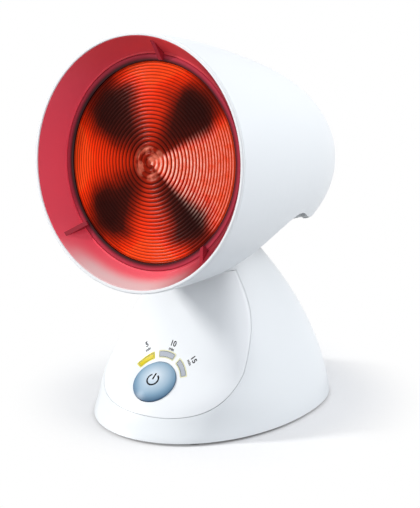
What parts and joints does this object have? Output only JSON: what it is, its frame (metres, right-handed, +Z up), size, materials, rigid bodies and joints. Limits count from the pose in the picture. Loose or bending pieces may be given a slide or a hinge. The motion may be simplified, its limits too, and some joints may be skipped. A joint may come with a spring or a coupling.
{
  "type": "infrared heat therapy lamp",
  "caption": "Tabletop infrared heat lamp: bullet-shaped head with a red ribbed lens, tilting on a domed stand with a push button and timer windows.",
  "frame": {"origin": "centre of the footprint box, on the bench", "axes": "+Z up, the lamp faces -Y, +X to the right of someone who stands behind it"},
  "size_m": [0.1458, 0.1864, 0.2338],
  "materials": {
    "shell_white": "satin",
    "shade_red": "gloss",
    "ring_dark": "gloss",
    "lens_red": "moulded rings",
    "reflector": "aluminised",
    "cap_metal": "plain",
    "button_blue": "pearl",
    "window_yellow": "translucent, lit",
    "window_grey": "translucent",
    "plate_dark": "plain",
    "rubber_black": "plain",
    "board_green": "solder mask",
    "component_black": "plain",
    "led_clear": "clear",
    "coil_yellow": "taped core",
    "terminal_green": "plain",
    "steel": "zinc plated",
    "friction_fibre": "plain",
    "shield_metal": "plain",
    "ceramic_white": "glazed ceramic"
  },
  "bodies": {
    "base": {"base_shell": "shell_white", "front_panel": "shell_white", "timer_window_5": "window_yellow", "timer_window_10": "window_grey", "timer_window_15": "window_grey", "control_board": "board_green", "power_switch": "component_black", "timer_leds": "led_clear", "board_screws": "steel", "base_plate": "plate_dark", "base_screws": "steel", "rubber_feet": "rubber_black", "cord_gland": "rubber_black", "power_board": "board_green", "transformer": "coil_yellow", "relay": "component_black", "terminal_block": "terminal_green", "capacitor": "component_black", "tilt_bracket": "steel", "bracket_screws": "steel", "hinge_pin": "steel", "hinge_nut": "steel", "hinge_spacer": "steel", "detent_disc": "steel", "friction_washer": "friction_fibre", "spring_washers": "steel"},
    "button": {"power_button": "button_blue"},
    "head": {"head_shell": "shell_white", "front_bezel": "shell_white", "shade_liner": "shade_red", "lamp_ring": "ring_dark", "lamp_clips": "shade_red", "bulb_lens": "lens_red", "bulb_body": "reflector", "bulb_cap": "cap_metal", "cap_contact": "cap_metal", "heat_shield": "shield_metal", "lamp_chassis": "steel", "chassis_screws": "steel", "lamp_holder": "ceramic_white", "holder_contact": "cap_metal", "holder_screws": "steel"}
  },
  "joints": [
    {"name": "head_tilt", "type": "hinge", "parent": "base", "child": "head", "pos_m": [0, -0.00163, 0.104], "axis": [-1, 0, 0], "range_deg": [-20, 20]},
    {"name": "power_button", "type": "slide", "parent": "base", "child": "button", "axis": [0, 0.6349, -0.7726], "range_m": [0, 0.0012], "stiffness_N_per_m": 2000}
  ]
}
